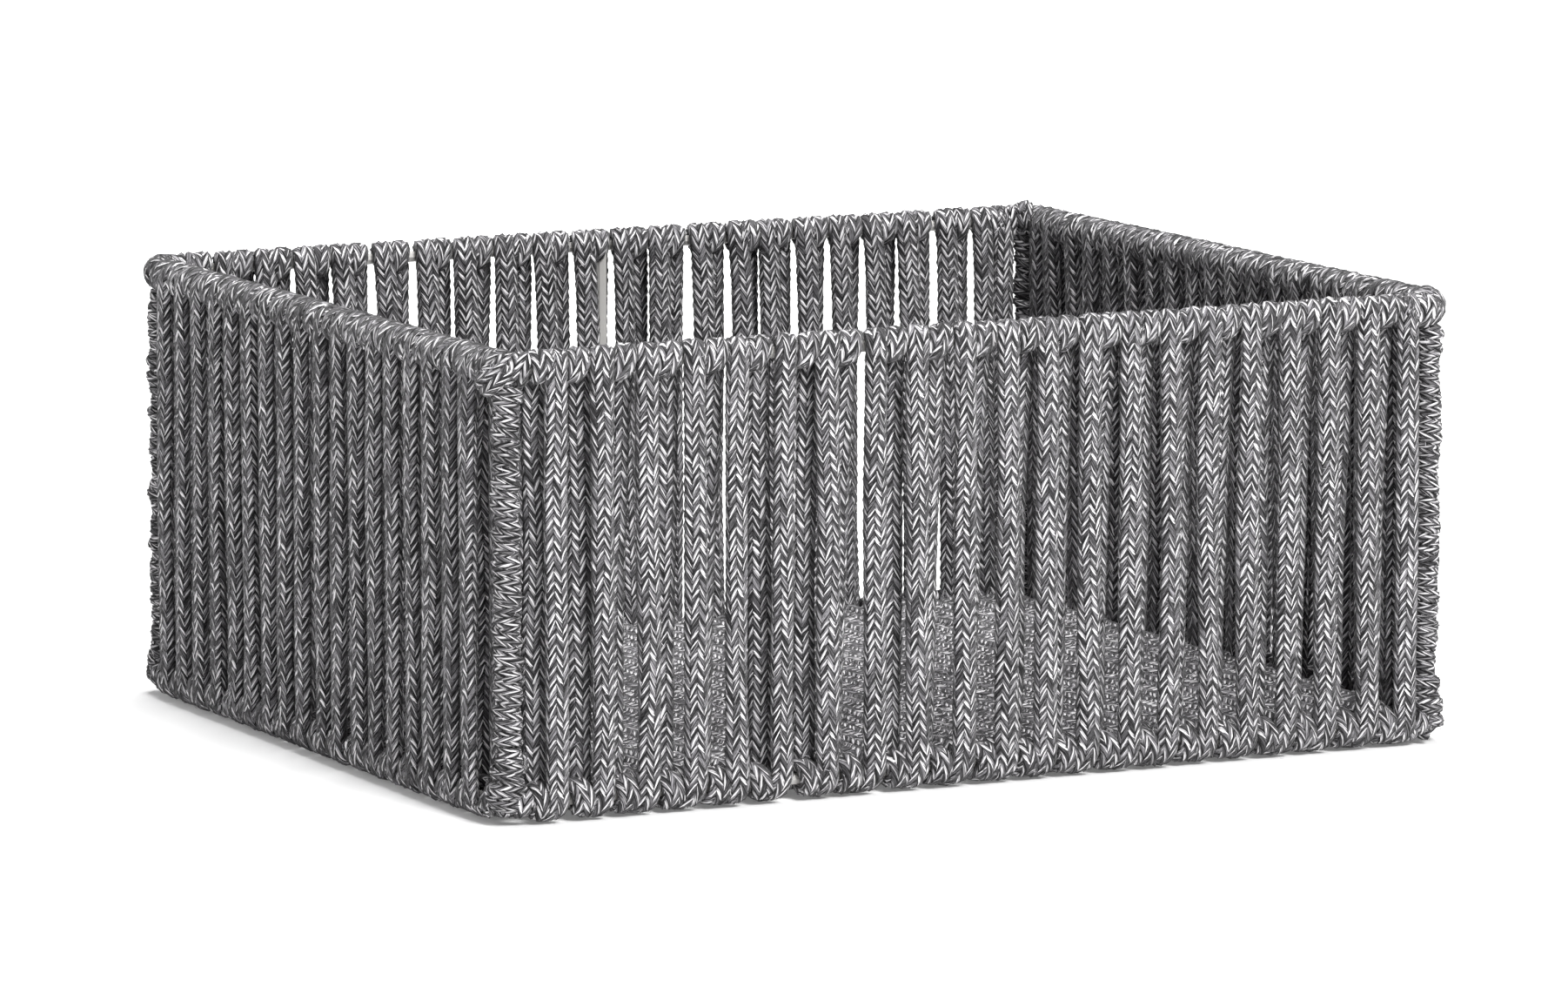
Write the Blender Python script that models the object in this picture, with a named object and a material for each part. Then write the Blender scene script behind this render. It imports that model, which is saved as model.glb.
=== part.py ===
"""Open rectangular basket: a welded wire frame with walls and a floor wound from flat knitted cord.

Metres, +Z up, +X along the length, the front wall at -Y. The origin is the centre of the underside.
"""

import math

import bmesh
import bpy
import numpy as np
from mathutils import Matrix, Vector

# Driving dimensions
BASKET_LENGTH = 0.400
BASKET_WIDTH = 0.335
BASKET_HEIGHT = 0.170
WIRE_RADIUS = 0.0021
RAIL_RADIUS = 0.0066  # from a rail's axis to the flat outside of the cord wound round it
CORNER_RADIUS = 0.010  # of each ring wire's centre line
POST_WRAP_RADIUS = 0.0049
STRIP_WIDTH = 0.0084
STRIP_NEAR = 0.0027  # a strip's faces, measured out from the frame's plane
STRIP_FAR = 0.0064
FRONT_WALL_STRIPS = 21
BACK_WALL_STRIPS = 22
LONG_WALL_PITCH = 0.0172
SHORT_WALL_STRIPS = 18
SHORT_WALL_PITCH = 0.0164
EVEN = (0.0, 0.0)  # how far the strips stray along a wall, at even places from end to end
FRONT_STRAY = (-0.002, 0.002, 0.008, 0.007, 0.006)
BACK_STRAY = (0.0018, 0.0016, -0.0029, -0.0083, -0.0086, -0.0086, -0.0086, -0.0086, -0.0086)
LEFT_STRAY = (0.0025, 0.0025)
FRONT_MID_POST = -0.0075  # along the wall from its middle, behind a strip
FLOOR_THICKNESS = 0.0128
GAP = 0.0003

# Worked out from them
RAIL_SIDES = 8
ARC_STEPS = 4
FLAT = math.cos(math.pi / RAIL_SIDES)  # a polygon's flats lie this far out, with its corners at 1
BORE_RADIUS = (WIRE_RADIUS + GAP) / FLAT
HALF_LENGTH = BASKET_LENGTH / 2 - RAIL_RADIUS  # of the frame, on the wires' centre lines
HALF_WIDTH = BASKET_WIDTH / 2 - RAIL_RADIUS
LOW_RAIL = RAIL_RADIUS
HIGH_RAIL = BASKET_HEIGHT - RAIL_RADIUS
POST_INSET = CORNER_RADIUS * (1 - math.sqrt(0.5))
FLOOR_MARGIN = RAIL_RADIUS + GAP

for old in list(bpy.data.objects):
    bpy.data.objects.remove(old, do_unlink=True)

parts = bpy.data.collections.new("woven_basket")
cutters = bpy.data.collections.new("cutters")
for collection in (parts, cutters):
    bpy.context.scene.collection.children.link(collection)


def make_material(name, colour, roughness, metallic):
    material = bpy.data.materials.new(name)
    material.use_nodes = True
    shader = material.node_tree.nodes["Principled BSDF"]
    shader.inputs["Base Color"].default_value = (*colour, 1)
    shader.inputs["Roughness"].default_value = roughness
    shader.inputs["Metallic"].default_value = metallic
    return material


cord_finish = make_material("marl_cord", (0.17, 0.17, 0.18), 0.9, 0.0)
wire_finish = make_material("powder_coated_wire", (0.45, 0.45, 0.44), 0.45, 0.0)


def add_mesh(name, shape, collection=parts, material=cord_finish):
    bmesh.ops.recalc_face_normals(shape, faces=shape.faces)
    mesh = bpy.data.meshes.new(name)
    shape.to_mesh(mesh)
    shape.free()
    made = bpy.data.objects.new(name, mesh)
    collection.objects.link(made)
    if collection is cutters:
        made.hide_render = True
        made.display_type = "WIRE"
    else:
        mesh.materials.append(material)
    return made


def add_prism(shape, flat_radius, start, end):
    """Adds an eight-sided bar to shape, flats towards the axes, running along X, Y or Z from start to end."""
    start, end = Vector(start), Vector(end)
    span = end - start
    half_step = Matrix.Rotation(math.pi / RAIL_SIDES, 4, "Z")
    turn = span.to_track_quat("Z", "Y").to_matrix().to_4x4()
    bmesh.ops.create_cone(
        shape,
        cap_ends=True,
        segments=RAIL_SIDES,
        radius1=flat_radius / FLAT,
        radius2=flat_radius / FLAT,
        depth=span.length,
        matrix=Matrix.Translation((start + end) / 2) @ turn @ half_step,
    )


def add_box(shape, low, high):
    low, high = Vector(low), Vector(high)
    size = Matrix.Diagonal((*(high - low), 1))
    bmesh.ops.create_cube(shape, size=1, matrix=Matrix.Translation((low + high) / 2) @ size)


def join_or_cut(target, operation, other):
    change = target.modifiers.new(f"{operation.lower()}_{other.name}", "BOOLEAN")
    change.operation = operation
    change.object = other


def add_wire(name, points, closed=False):
    curve = bpy.data.curves.new(name, "CURVE")
    curve.dimensions = "3D"
    curve.bevel_depth = WIRE_RADIUS
    curve.bevel_resolution = 2
    curve.use_fill_caps = not closed
    spline = curve.splines.new("POLY")
    spline.points.add(len(points) - 1)
    for knot, point in zip(spline.points, points):
        knot.co = (*point, 1)
    spline.use_cyclic_u = closed
    curve.materials.append(wire_finish)
    made = bpy.data.objects.new(name, curve)
    parts.objects.link(made)
    return made


def corner_signs():
    return (("front_left", -1, -1), ("front_right", 1, -1), ("back_right", 1, 1), ("back_left", -1, 1))


def ring_points(height):
    """The centre line of a ring wire: a rectangle with an arc of ARC_STEPS chords at each corner."""
    points = []
    for corner, (_, x_sign, y_sign) in enumerate(corner_signs()):
        centre = Vector((x_sign * (HALF_LENGTH - CORNER_RADIUS), y_sign * (HALF_WIDTH - CORNER_RADIUS), height))
        for step in range(ARC_STEPS + 1):
            angle = math.pi + (corner + step / ARC_STEPS) * math.pi / 2
            points.append(centre + CORNER_RADIUS * Vector((math.cos(angle), math.sin(angle), 0)))
    return points


def make_frame():
    add_wire("top_ring_wire", ring_points(HIGH_RAIL), closed=True)
    add_wire("bottom_ring_wire", ring_points(LOW_RAIL), closed=True)
    weld_gap = WIRE_RADIUS + GAP
    low, high = LOW_RAIL + weld_gap, HIGH_RAIL - weld_gap
    for corner, x_sign, y_sign in corner_signs():
        x, y = x_sign * (HALF_LENGTH - POST_INSET), y_sign * (HALF_WIDTH - POST_INSET)
        add_wire(f"{corner}_post_wire", [(x, y, low), (x, y, high)])
    for side, x, y in (("front", FRONT_MID_POST, -HALF_WIDTH), ("back", 0, HALF_WIDTH)):
        add_wire(f"{side}_mid_post_wire", [(x, y, low), (x, y, high)])
    inner = HALF_WIDTH - weld_gap
    add_wire("base_cross_wire", [(0, -inner, LOW_RAIL), (0, inner, LOW_RAIL)])


def strip_centres(count, pitch, stray, straight):
    """Where the outer strips lie along a wall, and the inner ones half a pitch to each side of them.

    The first and last inner strips move in to stay on the rails, and are left out where there is no room.
    """
    limit = straight - STRIP_WIDTH / 2 - 2 * GAP

    def placed(places):
        strayed = places + np.interp(places / straight, np.linspace(-1, 1, len(stray)), stray)
        return np.clip(strayed, -limit, limit).tolist()

    outer = placed((np.arange(count) - (count - 1) / 2) * pitch)
    inner = placed((np.arange(count + 1) - count / 2) * pitch)
    room = min(inner[1] - inner[0], inner[-1] - inner[-2])
    return outer, inner if room > STRIP_WIDTH + GAP else inner[1:-1]


def make_wall(name, turn, half_span, distance, count, pitch, stray, mid_post):
    """A wall winding. It is built along X with its outside at -Y, on the frame's plane at y = 0."""
    straight = half_span - CORNER_RADIUS - GAP / 2
    rails = (("low", LOW_RAIL), ("high", HIGH_RAIL))
    place = Matrix.Rotation(turn, 4, "Z") @ Matrix.Translation((0, -distance, 0))

    winding = bmesh.new()
    add_prism(winding, RAIL_RADIUS, (-straight, 0, LOW_RAIL), (straight, 0, LOW_RAIL))
    wall = add_mesh(name, winding)
    top = bmesh.new()
    add_prism(top, RAIL_RADIUS, (-straight, 0, HIGH_RAIL), (straight, 0, HIGH_RAIL))
    top_rail = add_mesh(f"{name}_top_rail", top, cutters)

    runs = bmesh.new()
    outer, inner = strip_centres(count, pitch, stray, straight)
    for centres, near, far in ((outer, -STRIP_FAR, -STRIP_NEAR), (inner, STRIP_NEAR, STRIP_FAR)):
        for centre in centres:
            left, right = centre - STRIP_WIDTH / 2, centre + STRIP_WIDTH / 2
            add_box(runs, (left, near, LOW_RAIL), (right, far, HIGH_RAIL))
    strips = add_mesh(f"{name}_strips", runs, cutters)

    bores = bmesh.new()
    for _, height in rails:
        add_prism(bores, WIRE_RADIUS + GAP, (-half_span, 0, height), (half_span, 0, height))
    ring_bores = add_mesh(f"{name}_ring_bores", bores, cutters)

    join_or_cut(wall, "UNION", strips)
    join_or_cut(wall, "UNION", top_rail)
    join_or_cut(wall, "DIFFERENCE", ring_bores)
    placed = [wall, top_rail, strips, ring_bores]
    if mid_post is not None:
        post_bore = bmesh.new()
        add_prism(post_bore, WIRE_RADIUS + GAP, (mid_post, 0, LOW_RAIL), (mid_post, 0, HIGH_RAIL))
        placed.append(add_mesh(f"{name}_post_bore", post_bore, cutters))
        cross_bore = bmesh.new()
        add_prism(cross_bore, WIRE_RADIUS + 1.5 * GAP, (0, 0, LOW_RAIL), (0, 2 * RAIL_RADIUS, LOW_RAIL))
        placed.append(add_mesh(f"{name}_cross_bore", cross_bore, cutters))
        for cutter in placed[-2:]:
            join_or_cut(wall, "DIFFERENCE", cutter)
    for made in placed:
        made.matrix_world = place


def make_walls():
    front_wall = (HALF_LENGTH, HALF_WIDTH, FRONT_WALL_STRIPS, LONG_WALL_PITCH)
    back_wall = (HALF_LENGTH, HALF_WIDTH, BACK_WALL_STRIPS, LONG_WALL_PITCH)
    short_wall = (HALF_WIDTH, HALF_LENGTH, SHORT_WALL_STRIPS, SHORT_WALL_PITCH)
    sides = (
        ("front", front_wall, FRONT_STRAY, FRONT_MID_POST),
        ("right", short_wall, EVEN, None),
        ("back", back_wall, BACK_STRAY, 0.0),
        ("left", short_wall, LEFT_STRAY, None),
    )
    for quarter, (side, sizes, stray, mid_post) in enumerate(sides):
        make_wall(f"{side}_wall_winding", quarter * math.pi / 2, *sizes, stray, mid_post)


def make_floor():
    floor = bmesh.new()
    x, y = HALF_LENGTH - FLOOR_MARGIN, HALF_WIDTH - FLOOR_MARGIN
    add_box(floor, (-x, -y, 0), (x, y, FLOOR_THICKNESS))
    upright = [edge for edge in floor.edges if abs(edge.verts[0].co.z - edge.verts[1].co.z) > GAP]
    bmesh.ops.bevel(
        floor,
        geom=upright,
        offset=CORNER_RADIUS - FLOOR_MARGIN,
        segments=3,
        profile=0.5,
        affect="EDGES",
    )
    mat = add_mesh("floor_winding", floor)
    bore = bmesh.new()
    add_prism(bore, WIRE_RADIUS + GAP, (0, -HALF_WIDTH, LOW_RAIL), (0, HALF_WIDTH, LOW_RAIL))
    join_or_cut(mat, "DIFFERENCE", add_mesh("floor_cross_bore", bore, cutters))


def quarter_bend(flat_radius, overrun):
    """A solid bend round the origin from the +X side to the +Y side, in chords that match the ring wire's."""
    shape = bmesh.new()
    bmesh.ops.create_circle(
        shape,
        cap_ends=True,
        segments=RAIL_SIDES,
        radius=flat_radius / FLAT,
        matrix=Matrix.Translation((CORNER_RADIUS, 0, 0))
        @ Matrix.Rotation(math.pi / 2, 4, "X")
        @ Matrix.Rotation(math.pi / RAIL_SIDES, 4, "Z"),
    )
    bmesh.ops.spin(
        shape,
        geom=shape.verts[:] + shape.edges[:] + shape.faces[:],
        cent=(0, 0, 0),
        axis=(0, 0, 1),
        angle=math.pi / 2,
        steps=ARC_STEPS,
        use_duplicate=False,
    )
    for vert in shape.verts:
        if abs(vert.co.y) < GAP / 10:
            vert.co.y = -overrun
        elif abs(vert.co.x) < GAP / 10:
            vert.co.x = -overrun
    return shape


def make_lashing(corner, x_sign, y_sign, level, height):
    """The turns round a ring wire's corner, bored for that wire and for the post that meets it."""
    name = f"{corner}_{level}_lashing"
    lashing = add_mesh(name, quarter_bend(RAIL_RADIUS, -GAP / 2))
    ring_bore = add_mesh(f"{name}_ring_bore", quarter_bend(WIRE_RADIUS + GAP, 4 * GAP), cutters)
    hole = bmesh.new()
    reach = 2 * RAIL_RADIUS if level == "bottom" else -2 * RAIL_RADIUS
    middle = CORNER_RADIUS * math.sqrt(0.5)
    add_prism(hole, WIRE_RADIUS + GAP, (middle, middle, 0), (middle, middle, reach))
    post_bore = add_mesh(f"{name}_post_bore", hole, cutters)
    join_or_cut(lashing, "DIFFERENCE", ring_bore)
    join_or_cut(lashing, "DIFFERENCE", post_bore)
    turn = {(1, 1): 0, (-1, 1): 1, (-1, -1): 2, (1, -1): 3}[x_sign, y_sign] * math.pi / 2
    centre = (x_sign * (HALF_LENGTH - CORNER_RADIUS), y_sign * (HALF_WIDTH - CORNER_RADIUS), height)
    for made in (lashing, ring_bore, post_bore):
        made.matrix_world = Matrix.Translation(centre) @ Matrix.Rotation(turn, 4, "Z")


def make_post_wrap(corner, x_sign, y_sign):
    x, y = x_sign * (HALF_LENGTH - POST_INSET), y_sign * (HALF_WIDTH - POST_INSET)
    low, high = LOW_RAIL + RAIL_RADIUS + GAP, HIGH_RAIL - RAIL_RADIUS - GAP
    wrap = bmesh.new()
    add_prism(wrap, POST_WRAP_RADIUS, (x, y, low), (x, y, high))
    tube = add_mesh(f"{corner}_post_wrap", wrap)
    bore = bmesh.new()
    add_prism(bore, WIRE_RADIUS + GAP, (x, y, LOW_RAIL), (x, y, HIGH_RAIL))
    join_or_cut(tube, "DIFFERENCE", add_mesh(f"{corner}_post_bore", bore, cutters))


def make_corners():
    for corner, x_sign, y_sign in corner_signs():
        make_lashing(corner, x_sign, y_sign, "top", HIGH_RAIL)
        make_lashing(corner, x_sign, y_sign, "bottom", LOW_RAIL)
        make_post_wrap(corner, x_sign, y_sign)


make_frame()
make_walls()
make_floor()
make_corners()
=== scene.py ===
import math
import time

import bmesh
import bpy
import numpy as np
from mathutils import Matrix, Vector


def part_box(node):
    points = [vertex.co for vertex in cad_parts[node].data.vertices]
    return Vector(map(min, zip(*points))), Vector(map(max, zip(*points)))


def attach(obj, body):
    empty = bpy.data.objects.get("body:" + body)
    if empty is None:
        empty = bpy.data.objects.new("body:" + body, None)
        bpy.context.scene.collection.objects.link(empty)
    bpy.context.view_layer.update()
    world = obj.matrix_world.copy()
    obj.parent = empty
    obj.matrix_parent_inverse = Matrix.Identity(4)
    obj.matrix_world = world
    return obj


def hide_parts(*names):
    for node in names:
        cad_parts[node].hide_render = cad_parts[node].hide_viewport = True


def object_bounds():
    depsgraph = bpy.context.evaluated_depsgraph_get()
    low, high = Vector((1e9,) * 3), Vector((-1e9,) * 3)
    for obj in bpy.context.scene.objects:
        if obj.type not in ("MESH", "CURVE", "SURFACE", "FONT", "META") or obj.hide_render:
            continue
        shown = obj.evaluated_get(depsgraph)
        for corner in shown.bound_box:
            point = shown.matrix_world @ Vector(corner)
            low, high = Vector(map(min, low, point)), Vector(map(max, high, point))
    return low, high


started = time.time()
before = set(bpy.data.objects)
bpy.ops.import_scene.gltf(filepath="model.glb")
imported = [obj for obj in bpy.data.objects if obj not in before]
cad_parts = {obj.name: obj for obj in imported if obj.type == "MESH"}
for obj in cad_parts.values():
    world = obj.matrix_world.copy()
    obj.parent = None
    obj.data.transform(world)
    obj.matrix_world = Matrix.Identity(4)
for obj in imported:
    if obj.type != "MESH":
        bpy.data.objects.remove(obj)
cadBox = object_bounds()
dice = np.random.default_rng(21)


def report(text):
    print(f"[{time.time() - started:5.1f} s] {text}")


# The wire frame's lines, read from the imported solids
ringLow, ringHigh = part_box("top_ring_wire")
lowRingLow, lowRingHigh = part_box("bottom_ring_wire")
wireRadius = (ringHigh.z - ringLow.z) / 2
halfLength = ringHigh.x - wireRadius
halfWidth = ringHigh.y - wireRadius
highRail = (ringHigh.z + ringLow.z) / 2
lowRail = (lowRingHigh.z + lowRingLow.z) / 2
postLow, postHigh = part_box("front_right_post_wire")
postX, postY = (postLow.x + postHigh.x) / 2, -(postLow.y + postHigh.y) / 2
cornerRadius = (halfLength - postX) / (1 - math.sqrt(0.5))


def unit(vectors):
    return vectors / np.linalg.norm(vectors, axis=-1, keepdims=True)


def soften(values, width):  # a Gaussian blur along the first axis, width in samples
    reach = max(1, int(3 * width))
    kernel = np.exp(-0.5 * (np.arange(-reach, reach + 1) / width) ** 2)
    kernel /= kernel.sum()
    padded = np.concatenate([np.repeat(values[:1], reach, 0), values, np.repeat(values[-1:], reach, 0)])
    if values.ndim == 1:
        return np.convolve(padded, kernel, "valid")
    return np.stack([np.convolve(column, kernel, "valid") for column in padded.T], 1)


def drift(count, spacing, amount):  # smooth random wander, with a new knot each spacing samples
    knots = dice.normal(0, amount, int(count / spacing) + 3)
    line = np.interp(np.arange(count) / spacing, np.arange(len(knots)), knots)
    return soften(line, spacing / 3)


cord = {
    "width": 0.0088,
    "thickness": 0.0044,
    "squareness": (0.86, 0.8),  # across and up; 1 is an ellipse, and less is boxier
    "columns": 8,  # of slanted stitch legs round the tube
    "rowPitch": 0.0038,
    "legRise": 1.16,  # how far a leg climbs across its column, in rows
    "ringsPerRow": 4,
    "plump": 0.00018,
    "groove": 0.00040,
    "seam": 0.00030,  # how far the line between two columns lies in
    "seamSwell": 0.6,  # how much of a leg's swell reaches that line
    "fadeRows": 1.5,  # over which the zigzag starts at a cord's end
    "phase": -0.6,  # of the columns round the tube
    "uneven": 0.00010,
}
step = 0.0006  # between points of a cord's path
upward = np.array([0.0, 0.0, 1.0])


# The flattened tube's cross-section by share of its way round, from the middle of the flat side
def makeOutline():
    angle = np.linspace(0, 2 * math.pi, 1441)
    across = np.sign(np.sin(angle)) * np.abs(np.sin(angle)) ** cord["squareness"][0] * cord["width"] / 2
    up = np.sign(np.cos(angle)) * np.abs(np.cos(angle)) ** cord["squareness"][1] * cord["thickness"] / 2
    points = np.stack([across, up], 1)
    share = np.concatenate([[0], np.cumsum(np.linalg.norm(np.diff(points, axis=0), axis=1))])
    along = np.gradient(points, axis=0)
    normal = unit(np.stack([-along[:, 1], along[:, 0]], 1) * -1)
    return share / share[-1], points, normal


outlineShare, outlinePoints, outlineNormals = makeOutline()


# Places the tube's vertices in rings that zigzag with the stitch legs. It gives the rings,
# their places in the knitting, and the ring at each point of the path.
def knitRings(
    path,
    flats,
    phase=cord["phase"],
    widthScale=1.0,
    thickScale=1.0,
    rowPitch=cord["rowPitch"],
    perRow=cord["ringsPerRow"],
):
    count = len(path)
    lengths = np.concatenate([[0], np.cumsum(np.linalg.norm(np.diff(path, axis=0), axis=1))])
    tangents = unit(soften(np.gradient(path, axis=0), 1.5))
    flats = unit(flats - tangents * (flats * tangents).sum(1, keepdims=True))
    sides = np.cross(tangents, flats)
    widthScale = np.broadcast_to(widthScale, count)
    thickScale = np.broadcast_to(thickScale, count)
    phase = np.broadcast_to(phase, count)

    total = lengths[-1] / rowPitch
    around = cord["columns"] * 2
    ringCount = int(total * perRow)
    ring = (np.arange(ringCount + 1) / perRow)[:, None]
    half = np.arange(around + 1)[None, :]
    zigzag = np.array([1, 0, -1, 0])[half % 4] * cord["legRise"] / 2
    fade = np.clip(np.minimum(ring, total - ring) / cord["fadeRows"], 0, 1)
    row = np.clip(ring + zigzag * fade, 0, total)
    place = row * rowPitch

    def sample(values):
        if values.ndim == 1:
            return np.interp(place, lengths, values)
        return np.stack([np.interp(place, lengths, column) for column in values.T], -1)

    centre, flat, side = sample(path), unit(sample(flats)), unit(sample(sides))
    turn = (half / around + sample(phase) / cord["columns"]) % 1.0
    outline = [np.interp(turn, outlineShare, column) for column in (*outlinePoints.T, *outlineNormals.T)]
    onMiddle = half % 2 == 1
    arch = np.sin(math.pi * (np.arange(ringCount + 1) % perRow) / perRow)[:, None]
    swell = (cord["plump"] + cord["groove"]) * arch - cord["groove"]
    bump = np.where(onMiddle, swell, swell * cord["seamSwell"] - cord["seam"])
    uneven = dice.normal(0, cord["uneven"], (ringCount + 1, around + 1))
    uneven[:, -1] = uneven[:, 0]
    lift = bump + uneven
    taper = np.clip(0.5 + np.minimum(ring, total - ring), 0, 1)
    x = (outline[0] + outline[2] * lift) * sample(widthScale) * taper
    y = (outline[1] + outline[3] * lift) * sample(thickScale) * taper
    rings = centre + side * x[..., None] + flat * y[..., None]
    knit = np.stack([np.broadcast_to(half / 2, row.shape), row + int(dice.integers(0, 900))], -1)
    return rings, knit, (lengths / rowPitch * perRow).astype(int)


def lengthOf(path):
    return np.linalg.norm(np.diff(path, axis=0), axis=1).sum()


lint = []  # each winding's name and rings, for the loose fibres


def addPiece(name, mesh, material, node=None):
    made = bpy.data.objects.new(name, mesh)
    bpy.context.scene.collection.objects.link(made)
    mesh.materials.clear()
    mesh.materials.append(material)
    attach(made, "root")
    if node:
        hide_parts(node)
    return made


def knitMesh(name, rings, knit):  # one closed length of knitted tube from its rings
    ringCount, around = rings.shape[0], rings.shape[1]
    tube = bmesh.new()
    bmesh.ops.create_grid(tube, x_segments=around - 1, y_segments=ringCount - 1, size=0.5)
    mesh = bpy.data.meshes.new(name)
    tube.to_mesh(mesh)
    mesh.vertices.foreach_set("co", rings.astype(np.float32).ravel())
    layer = mesh.uv_layers.new(name="knit")
    vertexAt = np.empty(len(mesh.loops), np.int32)
    mesh.loops.foreach_get("vertex_index", vertexAt)
    layer.uv.foreach_set("vector", knit.reshape(-1, 2)[vertexAt].astype(np.float32).ravel())
    tube.clear()
    tube.from_mesh(mesh)
    seam = [vert for vert in tube.verts if vert.index % around in (0, around - 1)]
    bmesh.ops.remove_doubles(tube, verts=seam, dist=1e-6)
    bmesh.ops.holes_fill(tube, edges=[edge for edge in tube.edges if edge.is_boundary], sides=0)
    bmesh.ops.recalc_face_normals(tube, faces=tube.faces)
    for face in tube.faces:
        face.smooth = True
    tube.to_mesh(mesh)
    tube.free()
    return mesh


# Slices of a long cord's rings, each sharing its end rings with its neighbours
def cutAt(rings, knit, cuts):
    edges = [0, *cuts, len(rings) - 1]
    return [(rings[a : b + 1], knit[a : b + 1]) for a, b in zip(edges, edges[1:]) if b - a > 3]


class Link:  # a node socket that takes part in Python arithmetic
    def __init__(self, maker, socket):
        self.maker, self.socket = maker, socket

    def maths(self, operation, *others, clamp=False):
        return self.maker.node(
            "ShaderNodeMath",
            {"operation": operation, "use_clamp": clamp},
            dict(enumerate((self, *others))),
        )

    def __add__(self, other):
        return self.maths("ADD", other)

    def __sub__(self, other):
        return self.maths("SUBTRACT", other)

    def __mul__(self, other):
        return self.maths("MULTIPLY", other)

    def __rsub__(self, other):
        return self.maker.node("ShaderNodeMath", {"operation": "SUBTRACT"}, {0: other, 1: self})

    __radd__ = __add__
    __rmul__ = __mul__

    def floor(self):
        return self.maths("FLOOR")

    def fraction(self):
        return self.maths("FRACT")

    def size(self):
        return self.maths("ABSOLUTE")

    def held(self):
        return self.maths("ADD", 0.0, clamp=True)

    def most(self, other):
        return self.maths("MAXIMUM", other)

    def rise(self, low, high):  # 0 below low and 1 above high, eased
        return self.maker.node(
            "ShaderNodeMapRange",
            {"interpolation_type": "SMOOTHSTEP"},
            {"Value": self, "From Min": low, "From Max": high},
        )


class Finish:  # a material and the nodes that are added to it
    def __init__(self, name, **constants):
        self.material = bpy.data.materials.new(name)
        self.material.use_nodes = True
        self.tree = self.material.node_tree
        self.shader = self.tree.nodes["Principled BSDF"]
        for label, value in constants.items():
            self.shader.inputs[label.replace("_", " ")].default_value = value

    def node(self, kind, settings=None, sockets=None, output=0):
        made = self.tree.nodes.new(kind)
        for key, value in (settings or {}).items():
            setattr(made, key, value)
        for key, value in (sockets or {}).items():
            if isinstance(value, Link):
                self.tree.links.new(value.socket, made.inputs[key])
            else:
                made.inputs[key].default_value = value
        return Link(self, made.outputs[output])

    def vector(self, x, y, z):
        return self.node("ShaderNodeCombineXYZ", None, {0: x, 1: y, 2: z})

    def noise(self, place, scale, detail=2.0, roughness=0.5):
        sockets = {"Vector": place, "Scale": scale, "Detail": detail, "Roughness": roughness}
        return self.node("ShaderNodeTexNoise", None, sockets)

    def chance(self, x, y, z):  # a random number from 0 to 1 for each x, y and z
        place = self.vector(x, y, z)
        return self.node("ShaderNodeTexWhiteNoise", {"noise_dimensions": "3D"}, {"Vector": place})

    def blend(self, amount, first, second):
        return self.node("ShaderNodeMix", {"data_type": "RGBA"}, {0: amount, 6: first, 7: second}, output=2)

    def into(self, label, value):
        self.tree.links.new(value.socket, self.shader.inputs[label])

    def bumped(self, height, strength, distance):
        sockets = {"Strength": strength, "Distance": distance, "Height": height}
        self.into("Normal", self.node("ShaderNodeBump", None, sockets))


def grey(level, warmth=0.0):
    return (level * (1 + warmth), level, level * (1 - warmth * 1.6), 1)


marl = {
    "tint": (1.03, 1.0, 1.06),
    # the near-black of the painted shade between plies, legs and columns
    "shade": 0.004,
    "dark": 0.012,
    "mid": 0.086,
    "pale": 0.32,
    "fleck": 0.98,
    "fleckWidth": 0.115,  # of a leg, to each side of the fleck's middle
    "strands": 3.0,  # plies side by side in a leg
}


def yarn(level):
    return (*(min(1.0, level * part) for part in marl["tint"]), 1)
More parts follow.
